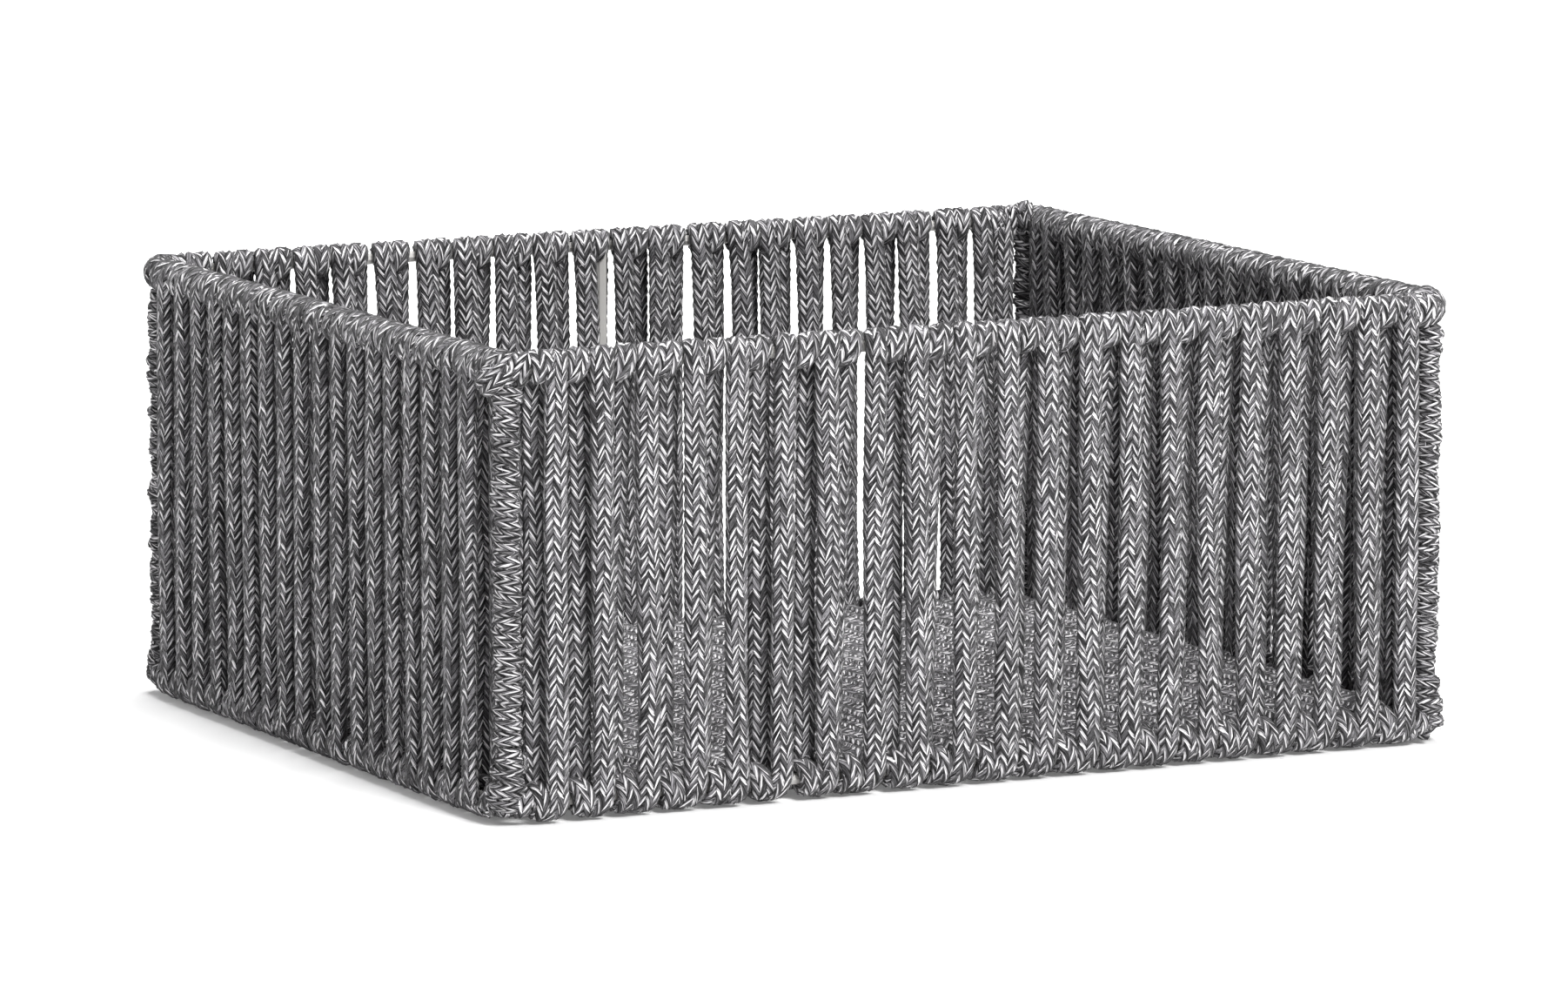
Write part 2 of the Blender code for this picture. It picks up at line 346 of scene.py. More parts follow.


# Knitted marl: dark, mid and pale plies in each stitch leg, one or two thin white flecks, and painted shade
# between plies, legs and columns
def makeMarl(name, seed, breadthScale, contrast):
    finish = Finish(name, Roughness=0.86, Specular_IOR_Level=0.15, Sheen_Weight=0.15, Sheen_Roughness=0.45)
    place = finish.node("ShaderNodeUVMap", {"uv_map": "knit"})
    column = finish.node("ShaderNodeSeparateXYZ", None, {0: place}, output=0)
    row = finish.node("ShaderNodeSeparateXYZ", None, {0: place}, output=1)
    cell = column.floor()
    inCell = column.fraction()
    side = 1.0 - (cell * 0.5).fraction() * 4.0  # 1 in even columns, -1 in odd ones
    climb = row - side * (0.5 - inCell) * cord["legRise"]
    leg = climb.floor()
    inLeg = climb.fraction()

    luck = finish.chance(cell, leg, seed)
    luckTwo = finish.chance(cell + 31.7, leg, seed)
    luckThree = finish.chance(cell, leg + 57.3, seed)
    wander = finish.noise(finish.vector(climb * 1.3, column * 1.1, seed), 1.0, 2.0) - 0.5
    blotch = finish.noise(finish.vector(row * 0.35, column * 0.5, seed + 9.0), 1.0, 2.0)

    # the fleck runs along the leg and crosses it a little
    slant = (inCell - 0.5) * (luckTwo - 0.5)
    middle = 0.30 + luck * 0.40 + slant * 0.8 + wander * 0.4
    reach = (inCell * 2.0 - 1.0 + (luckThree - 0.5) * 0.4).size()
    breadth = marl["fleckWidth"] * breadthScale * (1.15 - reach * reach * 0.8)
    fleck = 1.0 - (inLeg - middle).size().rise(breadth * 0.65, breadth)
    fleck = fleck * (1.0 - reach.rise(0.85, 1.15)) * luckThree.rise(0.04, 0.30)
    second = 1.0 - (inLeg - middle - 0.30 + luckTwo * 0.12).size().rise(breadth * 0.35, breadth * 0.7)
    second = second * (1.0 - reach.rise(0.5, 0.9)) * luckTwo.rise(0.45, 0.6) * 0.65
    fleck = fleck.most(second) * (1.0 - (1.0 - blotch.rise(0.36, 0.50)) * (contrast - 1.0) * 0.6)

    # the other plies lie beside it, each its own shade
    across = (inLeg + slant * 0.9 + wander * 0.5) * marl["strands"]
    shade = finish.chance(cell + leg * 3.0, across.floor(), seed + 5.0)
    grain = finish.vector(climb * 9.0 + column * 4.0, column * 1.7 - climb * 0.8, seed)
    hairs = finish.noise(grain, 1.0, 2.0, 0.65)
    level = shade * 0.75 + (hairs - 0.5) * 1.5 + (blotch - 0.5) * 0.5 * contrast + 0.12
    body = finish.blend(level.rise(0.0, 0.5), yarn(marl["dark"]), yarn(marl["mid"]))
    body = finish.blend(level.rise(0.45, 1.05), body, yarn(marl["pale"]))
    # painted shade: creases between plies, valleys between legs and column borders are darkened towards
    # near-black; the valleys more with more contrast
    crease = (across.fraction() - 0.5).size().rise(0.28, 0.5) * 0.5
    paintedValleyShade = (inLeg - 0.5).size().rise(0.33, 0.48) * 0.8 * contrast
    border = (inCell - 0.5).size().rise(0.38, 0.5) * 0.4
    body = finish.blend((crease + paintedValleyShade + border).held(), body, yarn(marl["shade"]))
    finish.into("Base Color", finish.blend(fleck * (0.6 + luckTwo * 0.4), body, yarn(marl["fleck"])))

    arch = 1.0 - (inLeg * 2.0 - 1.0).size().maths("POWER", 2.5)
    height = arch * 0.6 - crease * 0.5 + hairs * 0.5 + fleck * 0.3 - border
    finish.bumped(height, 0.8, 0.0005)
    return finish.material


wireCoat = {"dark": 0.40, "pale": 0.52, "warmth": 0.02, "cloudScale": 60.0, "peelScale": 900.0}


def makeWire():  # powder coat: pale warm grey with a faint orange peel
    finish = Finish("powderCoatedWire", Roughness=0.42, Specular_IOR_Level=0.45)
    place = finish.node("ShaderNodeTexCoord", output=3)
    cloud = finish.noise(place, wireCoat["cloudScale"], 3.0)
    peel = finish.noise(place, wireCoat["peelScale"], 2.0)
    dark, pale = (grey(wireCoat[key], wireCoat["warmth"]) for key in ("dark", "pale"))
    finish.into("Base Color", finish.blend(cloud, dark, pale))
    finish.bumped(peel, 0.12, 0.0004)
    return finish.material


marlCord = makeMarl("marlCord", 0.0, 1.0, 1.0)
# the wrapped cord's higher contrast deepens its painted shade between legs and its blotches
wrappedCord = makeMarl("wrappedCord", 13.0, 1.4, 2.3)  # pulled tight, its flecks lie broader
wirePaint = makeWire()
for name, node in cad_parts.items():
    if name.endswith("_wire"):
        node.material_slots[0].material = wirePaint
report("finishes ready")


wall = {
    "strips": {"front": 21, "right": 18, "back": 22, "left": 18},
    "pitch": {"front": 0.0172, "right": 0.0164, "back": 0.0172, "left": 0.0164},
    "stray": {  # how far the strips stray along the wall, at places from end to end
        "front": (-0.002, 0.002, 0.008, 0.007, 0.006),
        "right": (0.0, 0.0),
        "back": (0.0018, 0.0016, -0.0029, -0.0083, -0.0086, -0.0086, -0.0086, -0.0086, -0.0086),
        "left": (0.0025, 0.0025),
    },
    "phase": {"front": -0.45, "right": -0.3, "back": -0.6, "left": 0.45},  # of the knit's columns
    "insidePhase": 1.0,
    "reach": 0.0044,  # from a wire's axis to the cord's middle
    "scatter": 0.0004,
    "wanderAlong": (70, 0.00050),  # each wander's spacing in path points, and its amount
    "wanderOut": (60, 0.00025),
    "twist": (90, 0.10),
    "phaseWander": ((240, 0.4), (40, 0.2)),
    "widthScale": 0.98,
    "widthWander": (60, 0.045),
    "thickWander": (50, 0.04),
    "topAngles": (0, 90, 180, 360, 540),  # of the way round the high rail, in degrees
    "topAdvance": (0.0, 0.10, 0.24, 0.50, 0.75),  # along the wall at those angles, in pitches
    "topAdvanceBack": (0.0, 0.10, 0.22, 0.42, 0.61),
    "leanLow": (0.30, 0.50),  # where an inner strip meets the low rail, in pitches
    "gaps": {  # inner strips, by number, that lean so as to open a gap beside them or to shut it
        "front": {
            "open": (4, 7, 9, 10),
            "shut": (1, 5, 6, 8),
            "leanOpen": (0.24, 0.34),
            "leanShut": (0.60, 0.76),
        },
    },
    "leanCurve": 0.4,  # under 1, an inner strip leans most near the high rail
    "bottomAngles": (0, 90, 180, 270, 360, 450, 540),
    "bottomAdvance": (0.60, 0.50, 0.60, 0.85, 1.0),  # at the last five of those angles
    "secondLayer": 0.0020,  # how far the low rail's second turn lies over its first
    "layerAngles": (0, 220, 300, 400, 470, 540),
    "layerShares": (0, 0, 1, 1, 0.2, 0),
}


# One wall's winding, along the wall (x), out of it (-y) and up (z): its path, the way its flat side
# faces, how far each point is on its way to the inside, and where to cut it
def wallCord(count, pitch, stray, straight, topAdvance, gaps):
    reach = wall["reach"]
    rise = highRail - lowRail
    quarterTurn = reach * math.pi / 2
    runSteps = int(rise / step)
    turnSteps = int(6 * quarterTurn / step)
    limit = straight - cord["width"] / 2
    along, out, up, normalOut, normalUp, inside, cuts = [], [], [], [], [], [], []
    first = -(count - 1) / 2 * pitch
    for index in range(-1, count):
        start = first + index * pitch + dice.normal(0, wall["scatter"])
        lean = dice.uniform(*wall["leanLow"])
        if gaps and index + 1 in gaps["open"] + gaps["shut"]:
            lean = dice.uniform(*gaps["leanOpen" if index + 1 in gaps["open"] else "leanShut"])
        up01 = np.linspace(0, 1, runSteps, endpoint=False)
        theta = np.linspace(0, 3 * math.pi, turnSteps, endpoint=False)
        degrees = np.degrees(theta)
        # up the outside
        along.append(np.full(runSteps, start))
        out.append(np.full(runSteps, reach))
        up.append(lowRail + rise * up01)
        normalOut.append(np.ones(runSteps))
        normalUp.append(np.zeros(runSteps))
        # one and a half times round the high rail
        along.append(start + pitch * np.interp(degrees, wall["topAngles"], topAdvance))
        out.append(reach * np.cos(theta))
        up.append(highRail + reach * np.sin(theta))
        normalOut.append(np.cos(theta))
        normalUp.append(np.sin(theta))
        # down the inside
        fall = up01 ** wall["leanCurve"]
        along.append(start + pitch * (topAdvance[-1] + (lean - topAdvance[-1]) * fall))
        out.append(np.full(runSteps, -reach))
        up.append(highRail - rise * up01)
        normalOut.append(-np.ones(runSteps))
        normalUp.append(np.zeros(runSteps))
        # one and a half times round the low rail
        stops = (lean, (lean + wall["bottomAdvance"][0]) / 2, *wall["bottomAdvance"])
        along.append(start + pitch * np.interp(degrees, wall["bottomAngles"], stops))
        inside += [np.zeros(runSteps), degrees / 540, np.ones(runSteps), 1 - degrees / 540]
        layer = np.interp(degrees, wall["layerAngles"], wall["layerShares"]) * wall["secondLayer"]
        out.append(-(reach + layer) * np.cos(theta))
        up.append(lowRail - (reach + layer * 0.5) * np.sin(theta))
        normalOut.append(-np.cos(theta))
        normalUp.append(-np.sin(theta))
        cuts.append((index + 2) * 2 * (runSteps + turnSteps) - turnSteps // 6)
    cycle = 2 * (runSteps + turnSteps)
    head = runSteps + turnSteps // 2  # the cord starts on its way round the high rail
    tail = turnSteps  # and ends after its last inner strip, part of the way round the low rail
    keep = slice(head, (count + 1) * cycle - tail + turnSteps // 3)
    inside = np.concatenate(inside)[keep]
    columns = [np.concatenate(part)[keep] for part in (along, out, up, normalOut, normalUp)]
    places = columns[0]
    places = places + np.interp(places / straight, np.linspace(-1, 1, len(stray)), stray)
    columns[0] = np.clip(places, -limit, limit)
    columns = [soften(part, 4.0 if i == 0 else 1.5) for i, part in enumerate(columns)]
    along, out, up, normalOut, normalUp = columns
    samples = len(along)
    along = along + drift(samples, *wall["wanderAlong"])
    out = out + drift(samples, *wall["wanderOut"])
    twist = drift(samples, *wall["twist"])
    path = np.stack([along, -out, up], 1)
    flats = np.stack([np.zeros(samples), -normalOut, normalUp], 1)
    tangents = unit(np.gradient(path, axis=0))
    flats = flats * np.cos(twist)[:, None] + np.cross(tangents, flats) * np.sin(twist)[:, None]
    return path, flats, inside, [cut - head for cut in cuts[:-1]]


def turned(points, quarterTurns, shift):  # moved out by shift along -y, then turned round the basket
    x, y, z = points[..., 0], points[..., 1] - shift, points[..., 2]
    cosine, sine = ((1, 0), (0, 1), (-1, 0), (0, -1))[quarterTurns]
    return np.stack([x * cosine - y * sine, x * sine + y * cosine, z], -1)


def windWall(side, quarterTurns, halfSpan, distance):
    sizes = [wall[key][side] for key in ("strips", "pitch", "stray")]
    topAdvance = wall["topAdvanceBack" if side == "back" else "topAdvance"]
    gaps = wall["gaps"].get(side)
    path, flats, inside, cuts = wallCord(*sizes, halfSpan - cornerRadius, topAdvance, gaps)
    samples = len(path)
    slow, quick = (drift(samples, *wander) for wander in wall["phaseWander"])
    phase = wall["phase"][side] + wall["insidePhase"] * inside + slow + quick
    rings, knit, ringAt = knitRings(
        turned(path, quarterTurns, distance),
        turned(flats, quarterTurns, 0.0),
        phase=phase,
        widthScale=wall["widthScale"] + drift(samples, *wall["widthWander"]),
        thickScale=1 + drift(samples, *wall["thickWander"]),
    )
    for index, (part, stitches) in enumerate(cutAt(rings, knit, ringAt[cuts])):
        name = f"{side}_winding_{index + 1:02d}"
        addPiece(name, knitMesh(name, part, stitches), marlCord, f"{side}_wall_winding")
    lint.append((side, rings))
    report(f"{side} wall wound: {lengthOf(path):.2f} m of cord, {len(cuts) + 1} pieces")


windWall("front", 0, halfLength, halfWidth)
windWall("right", 1, halfWidth, halfLength)
windWall("back", 2, halfLength, halfWidth)
windWall("left", 3, halfWidth, halfLength)


corners = {  # which way each lies along X and Y
    "front_left": (-1, -1),
    "front_right": (1, -1),
    "back_right": (1, 1),
    "back_left": (-1, 1),
}
post = {
    "reach": 0.0036,  # from the post's axis to the wrapping cord's middle
    "pitch": 0.0046,
    "widthScale": 0.66,
    "thickScale": 0.70,
    "rowPitch": 0.0034,
    "ringsPerRow": 3,
    "lashTurns": 3.0,
    "lashSweep": 84,  # degrees of the corner's arc that a lashing covers
    "lashStart": -0.75,  # in half turns, from straight out
    "headDrop": 0.0064,  # from the high rail's axis to the first turn on the post
    "footReach": 0.0058,  # the lowest turns go over the low lashing
    "footHeight": (0.019, 0.012),  # where they start to widen, and where they are widest
    "footEnd": 0.0034,
    "lowLashing": {"reach": 0.0036, "thickScale": 0.75},
    "narrowing": 12,  # path points over which the cord pulls in from lashing to post
    "wander": (12, 0.00060),  # each wander's spacing in path points, and its amount
    "twist": (20, 0.4),
    "phaseWander": (25, 1.3),
    "widthWander": (16, 0.08),
    "thickWander": (16, 0.09),
}


def cornerAxes(xSign, ySign):
    axis = np.array([xSign * postX, ySign * postY, 0.0])
    centre = np.array([xSign * (halfLength - cornerRadius), ySign * (halfWidth - cornerRadius), 0.0])
    outward = np.array([xSign, ySign, 0.0]) / math.sqrt(2)
    return axis, centre, outward, np.array([-outward[1], outward[0], 0.0])


def lashing(corner, height, reach):  # turns round a ring's arc, and the way out of the cord's flat side
    _, centre, outward, across = corner
    turns = post["lashTurns"]
    share = np.linspace(0, 1, int(turns * 2 * math.pi * reach / step))
    swing = (share - 0.5) * math.radians(post["lashSweep"])
    ray = outward * np.cos(swing)[:, None] + across * np.sin(swing)[:, None]
    theta = post["lashStart"] * math.pi + 2 * math.pi * turns * share
    normal = ray * np.cos(theta)[:, None] + upward * np.sin(theta)[:, None]
    return centre + ray * cornerRadius + upward * height + normal * reach, normal


def postHelix(corner, high, low):  # a close helix down the post, wider at its foot
    axis, _, outward, across = corner
    turns = (high - low) / post["pitch"]
    share = np.linspace(0, 1, int(turns * 2 * math.pi * post["reach"] / step))
    theta = 2 * math.pi * turns * share + math.pi
    normal = outward * np.cos(theta)[:, None] + across * np.sin(theta)[:, None]
    height = high + (low - high) * share
    wide, widest = post["footHeight"]
    reach = np.interp(-height, (-wide, -widest), (post["reach"], post["footReach"]))
    return axis + normal * reach[:, None] + upward * height[:, None], normal


def resampled(path, *extras):  # the path at even steps, and each extra array with it
    lengths = np.concatenate([[0], np.cumsum(np.linalg.norm(np.diff(path, axis=0), axis=1))])
    even = np.linspace(0, lengths[-1], int(lengths[-1] / step))

    def take(values):
        if values.ndim == 1:
            return np.interp(even, lengths, values)
        return np.stack([np.interp(even, lengths, column) for column in values.T], 1)

    return [take(values) for values in (path, *extras)]


def wrapCorner(corner):
    axes = cornerAxes(*corners[corner])
    top, topNormal = lashing(axes, highRail, wall["reach"])
    middle, middleNormal = postHelix(axes, highRail - post["headDrop"], post["footEnd"])
    narrow = np.concatenate([np.zeros(len(top)), np.ones(len(middle))])
    path, normals, narrow = resampled(
        np.concatenate([top, middle]), np.concatenate([topNormal, middleNormal]), narrow
    )
    start = int(np.argmax(narrow > 0.5))
    joints = [start, (start + len(narrow)) // 2]
    narrow = soften(narrow, post["narrowing"])
    path = soften(path, 1.5)
    samples = len(path)
    path = path + np.stack([drift(samples, *post["wander"]) for _ in range(3)], 1)
    normals = unit(soften(normals, 2.0))
    twist = drift(samples, *post["twist"])[:, None] * narrow[:, None]
    normals = normals * np.cos(twist) + np.cross(unit(np.gradient(path, axis=0)), normals) * np.sin(twist)
    rings, knit, ringAt = knitRings(
        path,
        normals,
        phase=drift(samples, *post["phaseWander"]),
        widthScale=1 + (post["widthScale"] - 1) * narrow + drift(samples, *post["widthWander"]),
        thickScale=1 + (post["thickScale"] - 1) * narrow + drift(samples, *post["thickWander"]),
        rowPitch=post["rowPitch"],
        perRow=post["ringsPerRow"],
    )
    names = ("top_lashing", "post_wrap_high", "post_wrap_low")
    nodes = ("top_lashing", "post_wrap", "post_wrap")
    for label, node, (part, stitches) in zip(names, nodes, cutAt(rings, knit, ringAt[joints])):
        name = f"{corner}_{label}_cord"
        addPiece(name, knitMesh(name, part, stitches), wrappedCord, f"{corner}_{node}")
    lint.append((f"{corner}_corner", rings))

    low, lowNormal = resampled(*lashing(axes, lowRail, post["lowLashing"]["reach"]))
    thickScale = post["lowLashing"]["thickScale"]
    rings, knit, _ = knitRings(low, lowNormal, thickScale=thickScale, perRow=post["ringsPerRow"])
    name = f"{corner}_bottom_lashing_cord"
    addPiece(name, knitMesh(name, rings, knit), wrappedCord, f"{corner}_bottom_lashing")
    report(f"{corner} corner wrapped: {lengthOf(path) + lengthOf(low):.2f} m of cord")


for corner in corners:
    wrapCorner(corner)


# A few turns wound over a corner as on a ball, about an axis that leans from the first way to the second
knots = {
    "front_left": {
        "shift": (-0.0030, 0.0007, -0.0028),  # of the ball's middle from the post's top
        "radius": (0.0048, 0.0068),  # of the first turn and of the last
        "turns": 2.4,
        "ways": ((0.25, 0.0, 1.0), (-0.63, 0.32, 0.62)),
    },
    "front_right": {
        "shift": (-0.0006, 0.0008, 0.0014),
        "radius": (0.0046, 0.0050),
        "turns": 1.3,
        "ways": ((0.8, 0.4, 0.3), (0.5, 0.8, 0.2)),
    },
    "back_right": {
        "shift": (-0.0010, -0.0008, 0.0018),
        "radius": (0.0046, 0.0050),
        "turns": 1.2,
        "ways": ((0.8, -0.5, 0.2), (0.5, -0.7, 0.4)),
    },
}
knotCord = {
    "points": 160,
    "startAcross": (0.45, 0.89, 0.0),  # the winding starts square to this
    "widthScale": 0.84,
    "thickScale": 0.8,
    "phaseWander": (20, 0.6),
    "widthWander": (15, 0.06),
}


def addKnot(corner):
    sizes = knots[corner]
    xSign, ySign = corners[corner]
    middle = np.array([xSign * postX, ySign * postY, highRail]) + sizes["shift"]
    share = np.linspace(0, 1, knotCord["points"])[:, None]
    early, late = (np.array(way) for way in sizes["ways"])
    pole = unit(early * (1 - share) + late * share)
    first = unit(np.cross(pole, knotCord["startAcross"]))
    theta = 2 * math.pi * sizes["turns"] * share
    ray = first * np.cos(theta) + np.cross(pole, first) * np.sin(theta)
    small, large = sizes["radius"]
    path, flats = resampled(middle + ray * (small + (large - small) * share), ray)
    samples = len(path)
    rings, knit, _ = knitRings(
        path,
        flats,
        phase=drift(samples, *knotCord["phaseWander"]),
        widthScale=knotCord["widthScale"] + drift(samples, *knotCord["widthWander"]),
        thickScale=knotCord["thickScale"],
    )
    name = f"{corner}_corner_knot"
    addPiece(name, knitMesh(name, rings, knit), marlCord, None)
    lint.append((f"{corner}_knot", rings))


for corner in knots:
    addKnot(corner)
report("loose turns wound over three corners")


# The cut end of a cord beside the front left post: its plies show as pale dots
cutEnd = {
    "reach": 0.0060,  # from the post's axis
    "height": 0.0205,
    "from": 70,  # degrees round the post
    "to": -38,
    "points": 40,
    "scale": 0.8,  # of the cord's width and thickness
    "dots": 11,
    "dotRadius": 0.00052,
    "dotScale": (0.7, 1.2),
    "inset": 0.66,  # how far out the dots lie, as a share of the end's outline
    "insetScale": (0.8, 1.1),
    "proud": 0.0007,
}


def addCutEnd():
    axis = cornerAxes(*corners["front_left"])[0]
    angle = np.radians(np.linspace(cutEnd["from"], cutEnd["to"], cutEnd["points"]))[:, None]
    ray = np.concatenate([np.cos(angle), np.sin(angle), np.zeros_like(angle)], 1)
    path, flats = resampled(axis + ray * cutEnd["reach"] + upward * cutEnd["height"], ray)
    rings, knit, _ = knitRings(path, flats, widthScale=cutEnd["scale"], thickScale=cutEnd["scale"])
    name = "front_left_cord_end"
    addPiece(name, knitMesh(name, rings, knit), marlCord, None)

    last = rings[-3, :-1]
    middle = last.mean(0)
    ahead = unit(path[-1] - path[-4])
    dots = bmesh.new()
    for place in np.linspace(0, len(last), cutEnd["dots"], endpoint=False):
        inset = cutEnd["inset"] * dice.uniform(*cutEnd["insetScale"])
        spot = Matrix.Translation(middle + (last[int(place)] - middle) * inset + ahead * cutEnd["proud"])
        radius = cutEnd["dotRadius"] * dice.uniform(*cutEnd["dotScale"])
        bmesh.ops.create_icosphere(dots, subdivisions=2, radius=radius, matrix=spot)
    for face in dots.faces:
        face.smooth = True
    mesh = bpy.data.meshes.new("front_left_ply_ends")
    dots.to_mesh(mesh)
    dots.free()
    addPiece("front_left_ply_ends", mesh, makePlyEnd(), None)


def makePlyEnd():  # brushed white yarn, greyer in places
    finish = Finish("plyEnd", Roughness=0.9, Specular_IOR_Level=0.1)
    place = finish.node("ShaderNodeTexCoord", output=3)
    cloud = finish.noise(place, 2500.0, 3.0).rise(0.3, 0.7)
    finish.into("Base Color", finish.blend(cloud, yarn(0.35), yarn(0.85)))
    return finish.material


addCutEnd()
report("cut cord end added")

floorSettings = {
    "pitch": 0.0092,  # about, as it is fitted to a whole number of turns
    "high": 0.0106,  # of the upper layer's cord, at its middle
    "low": 0.0022,
    "margin": 0.0069,  # from the frame's lines to the cord
    "widthScale": 1.02,
    "ringsPerRow": 2,
    "wander": (90, 0.0005),
    "wanderUp": (50, 0.00015),
    "phaseWander": (260, 0.5),
}


def windFloor():  # a flattened coil of front-to-back runs in two layers
    radius = (floorSettings["high"] - floorSettings["low"]) / 2
    middle = (floorSettings["high"] + floorSettings["low"]) / 2
    insideX = halfLength - floorSettings["margin"] - cord["width"] / 2
    turnY = halfWidth - floorSettings["margin"] - cord["thickness"] / 2 - radius
    turns = round(2 * insideX / floorSettings["pitch"] + 0.5)
    pitch = 2 * insideX / (turns - 0.5)
    runSteps, turnSteps = int(2 * turnY / step), int(math.pi * radius / step)
    run = np.linspace(-1, 1, runSteps, endpoint=False)
    bend = np.linspace(0, math.pi, turnSteps, endpoint=False)
    x, y, z, normalY, normalZ = [], [], [], [], []
    for index in range(turns):
        start = -insideX + index * pitch
        x += [np.full(runSteps, start), start + pitch / 2 * bend / math.pi]
        y += [run * turnY, turnY + radius * np.sin(bend)]
        z += [np.full(runSteps, floorSettings["high"]), middle + radius * np.cos(bend)]
        normalY += [np.zeros(runSteps), np.sin(bend)]
        normalZ += [np.ones(runSteps), np.cos(bend)]
        x += [np.full(runSteps, start + pitch / 2), start + pitch / 2 + pitch / 2 * bend / math.pi]
        y += [-run * turnY, -turnY - radius * np.sin(bend)]
        z += [np.full(runSteps, floorSettings["low"]), middle - radius * np.cos(bend)]
        normalY += [np.zeros(runSteps), -np.sin(bend)]
        normalZ += [-np.ones(runSteps), -np.cos(bend)]
    x, y, z, normalY, normalZ = (soften(np.concatenate(part), 2.0) for part in (x, y, z, normalY, normalZ))
    x = soften(x, 5.0)
    samples = len(x)
    x = x + drift(samples, *floorSettings["wander"])
    z = z + drift(samples, *floorSettings["wanderUp"])
    path = np.stack([x, y, z], 1)
    flats = np.stack([np.zeros(samples), normalY, normalZ], 1)
    rings, knit, ringAt = knitRings(
        path,
        flats,
        phase=drift(samples, *floorSettings["phaseWander"]),
        widthScale=floorSettings["widthScale"],
        perRow=floorSettings["ringsPerRow"],
    )
    cuts = [index * 2 * (runSteps + turnSteps) - turnSteps // 2 for index in range(1, turns)]
    for index, (part, stitches) in enumerate(cutAt(rings, knit, ringAt[cuts])):
        name = f"floor_winding_{index + 1:02d}"
        addPiece(name, knitMesh(name, part, stitches), marlCord, "floor_winding")
    lint.append(("floor", rings))
    report(f"floor wound: {lengthOf(path):.2f} m of cord in {turns} turns")


windFloor()


fuzz = {
    "perMetre": {"walls": 170, "corners": 420, "floor": 270},
    "length": {"walls": (0.0018, 0.0052), "corners": (0.0018, 0.0045), "floor": (0.004, 0.010)},
    "curl": {"walls": 0.35, "corners": 0.4, "floor": 0.35},
    "bulge": {"walls": (0.0002, 0.0009), "corners": (0.0002, 0.0010), "floor": (0.0005, 0.0022)},
    "radius": {"walls": (0.00005, 0.00010), "corners": (0.00005, 0.00011), "floor": (0.00007, 0.00013)},
    "spans": 4,  # sections along a fibre
    "sink": 0.0001,  # of its ends into the cord
    "ripple": 0.4,  # of its curl, the second wave's share
}


def makeLint():  # pale and dark hairs
    finish = Finish("looseFibre", Roughness=0.9, Specular_IOR_Level=0.1)
    place = finish.node("ShaderNodeTexCoord", output=3)
    choice = finish.noise(place, 350.0, 1.0).rise(0.42, 0.58)
    finish.into("Base Color", finish.blend(choice, yarn(0.10), yarn(0.62)))
    return finish.material


# Loose fibres that arch off the cord: three-sided spindles, pointed at both ends
def addLint(name, rings, kind, material):
    count = int(lengthOf(rings[:, :-1].mean(1)) * fuzz["perMetre"][kind])
    spans = fuzz["spans"]
    rows, around = len(rings) - 3, rings.shape[1] - 1
    row, place = dice.integers(1, rows, count), dice.integers(0, around, count)
    root = rings[row, place]
    outward = unit(root - rings[row, :-1].mean(1))
    along = unit(rings[row + 1, place] - rings[row, place])
    sideways = np.cross(outward, along)
    heading = dice.uniform(0, 2 * math.pi, count)[:, None]
    ahead = along * np.cos(heading) + sideways * np.sin(heading)
    beside = np.cross(outward, ahead)
    length, bulge, radius = (
        dice.uniform(*fuzz[key][kind], count)[:, None, None] for key in ("length", "bulge", "radius")
    )
    curl = dice.normal(0, fuzz["curl"][kind], count)[:, None, None] * length
    share = np.linspace(0, 1, spans + 1)[None, :, None]
    arch = np.sin(math.pi * share)
    middle = (
        root[:, None]
        + ahead[:, None] * (share - 0.5) * length
        + outward[:, None] * (arch * bulge - fuzz["sink"])
        + beside[:, None] * (arch * curl + np.sin(2 * math.pi * share) * curl * fuzz["ripple"])
    )
    middle[..., 2] = np.maximum(middle[..., 2], ground)
    turn = np.array([0, 1, 2, 0]) * 2 * math.pi / 3
    swell = (radius * np.sqrt(arch))[:, :, None]
    places = (
        middle[:, :, None]
        + outward[:, None, None] * np.cos(turn)[None, None, :, None] * swell
        + beside[:, None, None] * np.sin(turn)[None, None, :, None] * swell
    )
    strands = bmesh.new()
    bmesh.ops.create_grid(strands, x_segments=3, y_segments=count * (spans + 1) - 1, size=0.5)
    mesh = bpy.data.meshes.new(name)
    strands.to_mesh(mesh)
    mesh.vertices.foreach_set("co", places.astype(np.float32).ravel())
    strands.clear()
    strands.from_mesh(mesh)
    strands.faces.ensure_lookup_table()
    between = [face for face in strands.faces if face.index // 3 % (spans + 1) == spans]
    bmesh.ops.delete(strands, geom=between, context="FACES_ONLY")
    bmesh.ops.delete(strands, geom=[edge for edge in strands.edges if not edge.link_faces], context="EDGES")
    bmesh.ops.remove_doubles(strands, verts=strands.verts, dist=2e-7)
    bmesh.ops.recalc_face_normals(strands, faces=strands.faces)
    strands.to_mesh(mesh)
    strands.free()
    addPiece(name, mesh, material)


looseFibre = makeLint()
ground = min(rings[..., 2].min() for _, rings in lint)  # no fibre's middle line goes lower
for name, rings in lint:
    kind = "floor" if name == "floor" else "corners" if "_" in name else "walls"
    addLint(f"{name}_lint", rings, kind, looseFibre)
report("lint added")


camera = {
    "azimuth": -26.8,
    "elevation": 8.4,
    "distance": 3.33,
    "lens": 200.0,
}


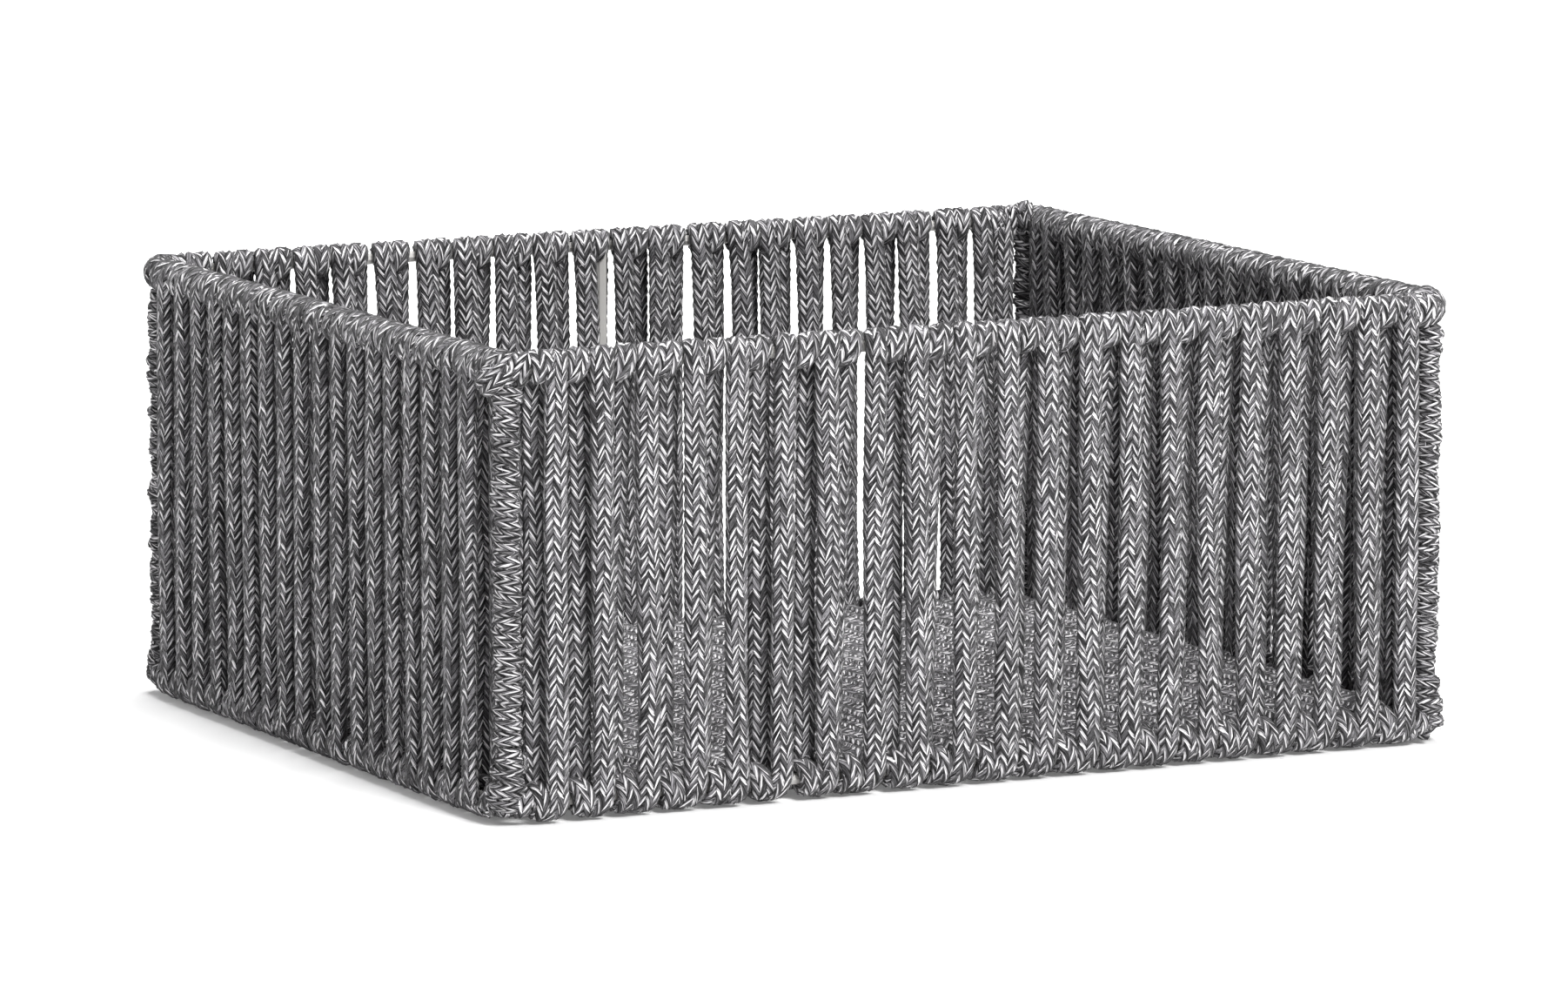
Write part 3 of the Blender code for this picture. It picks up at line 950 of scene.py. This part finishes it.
def addCamera():
    data = bpy.data.cameras.new("camera")
    data.lens = camera["lens"]
    data.clip_end = 60
    made = bpy.data.objects.new("camera", data)
    bpy.context.scene.collection.objects.link(made)
    azimuth, elevation = math.radians(camera["azimuth"]), math.radians(camera["elevation"])
    level = math.cos(elevation)
    back = Vector((math.sin(azimuth) * level, -math.cos(azimuth) * level, math.sin(elevation)))
    target = (cadBox[0] + cadBox[1]) / 2
    made.location = target + back * camera["distance"]
    made.rotation_mode = "QUATERNION"
    made.rotation_quaternion = (-back).to_track_quat("-Z", "Y")
    bpy.context.scene.camera = made


stage = {
    "halfSize": 12,
    "colour": 0.86,
    "glow": (0.14, 0.80),  # at the basket, and far from it
    "glowReach": (0.25, 2.2),
    "below": 0.0002,
    "sky": 0.25,
}
lights = {
    "frontSoftbox": {"place": (0.3, -3.0, 2.6), "size": (1.6, 1.2), "power": 176},
    "topSoftbox": {"place": (0.2, 0.3, 2.4), "size": (1.6, 1.6), "power": 74},
    "backStrip": {"place": (-1.9, 1.6, 0.9), "size": (0.8, 1.4), "power": 12},
}
lightTarget = (0, 0, 0.08)


def addStage():
    plate = bmesh.new()
    bmesh.ops.create_grid(plate, x_segments=2, y_segments=2, size=stage["halfSize"])
    mesh = bpy.data.meshes.new("studioFloor")
    plate.to_mesh(mesh)
    plate.free()
    # the floor glows more away from the basket, so that it runs into the white backdrop
    finish = Finish("studioFloor", Roughness=0.9, Specular_IOR_Level=0.1, Base_Color=grey(stage["colour"]))
    finish.shader.inputs["Emission Strength"].default_value = 1.0
    place = finish.node("ShaderNodeTexCoord", output=3)
    distance = finish.node("ShaderNodeVectorMath", {"operation": "LENGTH"}, {0: place}, output=1)
    near, far = stage["glow"]
    finish.into("Emission Color", finish.blend(distance.rise(*stage["glowReach"]), grey(near), grey(far)))
    mesh.materials.append(finish.material)
    made = bpy.data.objects.new("studioFloor", mesh)
    made.location.z = min(cadBox[0].z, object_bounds()[0].z) - stage["below"]
    bpy.context.scene.collection.objects.link(made)


def addLight(name, place, size, power):
    data = bpy.data.lights.new(name, "AREA")
    data.shape, data.size, data.size_y = "RECTANGLE", *size
    data.energy = power
    made = bpy.data.objects.new(name, data)
    made.location = place
    made.rotation_mode = "QUATERNION"
    made.rotation_quaternion = (Vector(lightTarget) - Vector(place)).to_track_quat("-Z", "Y")
    bpy.context.scene.collection.objects.link(made)


def addSky(strength):  # even white light, and a white backdrop
    world = bpy.data.worlds.new("studio")
    world.use_nodes = True
    tree = world.node_tree
    light = tree.nodes["Background"]
    light.inputs["Color"].default_value = (1, 1, 1, 1)
    light.inputs["Strength"].default_value = strength
    backdrop = tree.nodes.new("ShaderNodeBackground")
    backdrop.inputs["Color"].default_value = (1, 1, 1, 1)
    choice, rays = tree.nodes.new("ShaderNodeMixShader"), tree.nodes.new("ShaderNodeLightPath")
    tree.links.new(rays.outputs["Is Camera Ray"], choice.inputs[0])
    tree.links.new(light.outputs[0], choice.inputs[1])
    tree.links.new(backdrop.outputs[0], choice.inputs[2])
    tree.links.new(choice.outputs[0], tree.nodes["World Output"].inputs["Surface"])
    bpy.context.scene.world = world


addCamera()
addStage()
addSky(stage["sky"])
for name, settings in lights.items():
    addLight(name, **settings)
bpy.context.scene.view_settings.view_transform = "Standard"
report("camera, stage and lights set")
